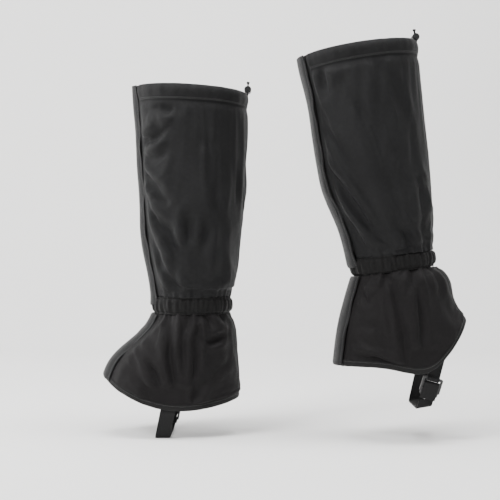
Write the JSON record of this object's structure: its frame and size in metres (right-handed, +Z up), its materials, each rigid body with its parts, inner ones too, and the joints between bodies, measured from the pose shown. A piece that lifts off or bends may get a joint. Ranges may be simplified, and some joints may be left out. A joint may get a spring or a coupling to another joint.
{
  "type": "hiking gaiters",
  "caption": "Pair of calf-high gaiters with front flaps, gathered ankle bands, top drawcords with cord locks, buckled instep straps and lace hooks.",
  "frame": {"origin": "middle of the upper face of the right instep strap, under the arch of the boot", "axes": "+Z up along the leg, -X towards the toes, -Y towards the wearer's left"},
  "size_m": [0.463, 0.1732, 0.5172],
  "materials": {
    "calf_fabric": "soft matte charcoal woven nylon",
    "foot_fabric": "dense matte black woven nylon",
    "binding_tape": "ribbed black binding tape",
    "elastic": "knitted black elastic",
    "closure_tape": "black hook-and-loop tape",
    "webbing": "black woven webbing",
    "cord": "black braided elastic cord",
    "moulded_plastic": "black moulded plastic, slightly glossy",
    "steel": "darkened steel"
  },
  "bodies": {
    "right_foot": {"right_foot_outer_panel": "foot_fabric", "right_foot_inner_panel": "foot_fabric", "right_hem_binding": "binding_tape", "right_ankle_band": "foot_fabric", "right_ankle_elastic": "elastic", "right_foot_loop_tape": "closure_tape", "right_lace_hook_tab": "webbing"},
    "right_calf": {"right_calf_outer_panel": "calf_fabric", "right_calf_inner_panel": "calf_fabric", "right_top_hem_channel": "calf_fabric", "right_calf_loop_tape": "closure_tape", "right_drawcord": "cord", "right_drawcord_eyelets": "steel", "right_drawcord_knot": "cord"},
    "right_calf_flap": {"right_calf_flap": "calf_fabric", "right_calf_hook_tape": "closure_tape"},
    "right_foot_flap": {"right_foot_flap": "foot_fabric", "right_foot_hook_tape": "closure_tape"},
    "right_strap": {"right_instep_strap": "webbing", "right_buckle_tab": "webbing"},
    "right_buckle": {"right_ladder_buckle": "moulded_plastic", "right_strap_end": "webbing"},
    "right_lace_hook": {"right_lace_hook": "steel"},
    "right_cord_lock": {"right_cord_lock_barrel": "moulded_plastic", "right_cord_lock_spring": "steel"},
    "right_lock_button": {"right_cord_lock_button": "moulded_plastic"},
    "left_foot": {"left_foot_outer_panel": "foot_fabric", "left_foot_inner_panel": "foot_fabric", "left_hem_binding": "binding_tape", "left_ankle_band": "foot_fabric", "left_ankle_elastic": "elastic", "left_foot_loop_tape": "closure_tape", "left_lace_hook_tab": "webbing"},
    "left_calf": {"left_calf_outer_panel": "calf_fabric", "left_calf_inner_panel": "calf_fabric", "left_top_hem_channel": "calf_fabric", "left_calf_loop_tape": "closure_tape", "left_drawcord": "cord", "left_drawcord_eyelets": "steel", "left_drawcord_knot": "cord"},
    "left_calf_flap": {"left_calf_flap": "calf_fabric", "left_calf_hook_tape": "closure_tape"},
    "left_foot_flap": {"left_foot_flap": "foot_fabric", "left_foot_hook_tape": "closure_tape"},
    "left_strap": {"left_instep_strap": "webbing", "left_buckle_tab": "webbing"},
    "left_buckle": {"left_ladder_buckle": "moulded_plastic", "left_strap_end": "webbing"},
    "left_lace_hook": {"left_lace_hook": "steel"},
    "left_cord_lock": {"left_cord_lock_barrel": "moulded_plastic", "left_cord_lock_spring": "steel"},
    "left_lock_button": {"left_cord_lock_button": "moulded_plastic"}
  },
  "joints": [
    {"name": "pair_spacing", "type": "slide", "parent": "right_foot", "child": "left_foot", "axis": [1, 0, 0], "range_m": [0, 0.3]},
    {"name": "right_ankle_flex", "type": "hinge", "parent": "right_foot", "child": "right_calf", "pos_m": [0.03575, 0, 0.166], "axis": [0, 1, 0], "range_deg": [-8, 8], "deforming": ["right_ankle_band", "right_ankle_elastic"]},
    {"name": "right_calf_flap_open", "type": "hinge", "parent": "right_calf", "child": "right_calf_flap", "pos_m": [-0.0123, -0.026, 0.166], "axis": [-0.0918, 0, 0.9958], "range_deg": [0, 90]},
    {"name": "right_foot_flap_open", "type": "hinge", "parent": "right_foot", "child": "right_foot_flap", "pos_m": [-0.0722, -0.026, 0.0736], "axis": [0.5966, 0, 0.8025], "range_deg": [0, 90]},
    {"name": "right_strap_swing", "type": "hinge", "parent": "right_foot", "child": "right_strap", "pos_m": [0.00957, 0, 0.045], "axis": [0, 1, 0], "range_deg": [-20, 20]},
    {"name": "right_buckle_tilt", "type": "hinge", "parent": "right_strap", "child": "right_buckle", "pos_m": [0.00595, 0.0489, 0.028], "axis": [0.9781, 0, -0.2079], "range_deg": [0, 50]},
    {"name": "right_lace_hook_swing", "type": "hinge", "parent": "right_foot", "child": "right_lace_hook", "pos_m": [-0.063, -0.009, 0.084], "axis": [0, 1, 0], "range_deg": [-60, 5]},
    {"name": "right_cord_lock_slide", "type": "slide", "parent": "right_calf", "child": "right_cord_lock", "axis": [0.0556, 0, 0.9985], "range_m": [0, 0.002]},
    {"name": "right_cord_lock_press", "type": "slide", "parent": "right_cord_lock", "child": "right_lock_button", "axis": [0, 1, 0], "range_m": [0, 0.0015], "stiffness_N_per_m": 400, "springref_m": -0.002, "deforming": ["right_cord_lock_spring"]},
    {"name": "left_ankle_flex", "type": "hinge", "parent": "left_foot", "child": "left_calf", "pos_m": [0.2905, -0.04, 0.22075], "axis": [0, 1, 0], "range_deg": [-8, 8], "deforming": ["left_ankle_band", "left_ankle_elastic"]},
    {"name": "left_calf_flap_open", "type": "hinge", "parent": "left_calf", "child": "left_calf_flap", "pos_m": [0.2377, -0.014, 0.2136], "axis": [0.2474, 0, -0.9689], "range_deg": [0, 90]},
    {"name": "left_foot_flap_open", "type": "hinge", "parent": "left_foot", "child": "left_foot_flap", "pos_m": [0.223, -0.014, 0.0949], "axis": [-0.1994, 0, -0.9799], "range_deg": [0, 90]},
    {"name": "left_strap_swing", "type": "hinge", "parent": "left_foot", "child": "left_strap", "pos_m": [0.33842, -0.04, 0.09409], "axis": [0, 1, 0], "range_deg": [-20, 20]},
    {"name": "left_buckle_tilt", "type": "hinge", "parent": "left_strap", "child": "left_buckle", "pos_m": [0.33442, -0.0827, 0.07917], "axis": [-0.9659, 0, 0.2588], "range_deg": [0, 50]},
    {"name": "left_lace_hook_swing", "type": "hinge", "parent": "left_foot", "child": "left_lace_hook", "pos_m": [0.231, -0.031, 0.103], "axis": [0, 1, 0], "range_deg": [-60, 5]},
    {"name": "left_cord_lock_slide", "type": "slide", "parent": "left_calf", "child": "left_cord_lock", "axis": [-0.1473, 0, 0.9891], "range_m": [0, 0.002]},
    {"name": "left_cord_lock_press", "type": "slide", "parent": "left_cord_lock", "child": "left_lock_button", "axis": [0, 1, 0], "range_m": [0, 0.0015], "stiffness_N_per_m": 400, "springref_m": -0.002, "deforming": ["left_cord_lock_spring"]}
  ]
}
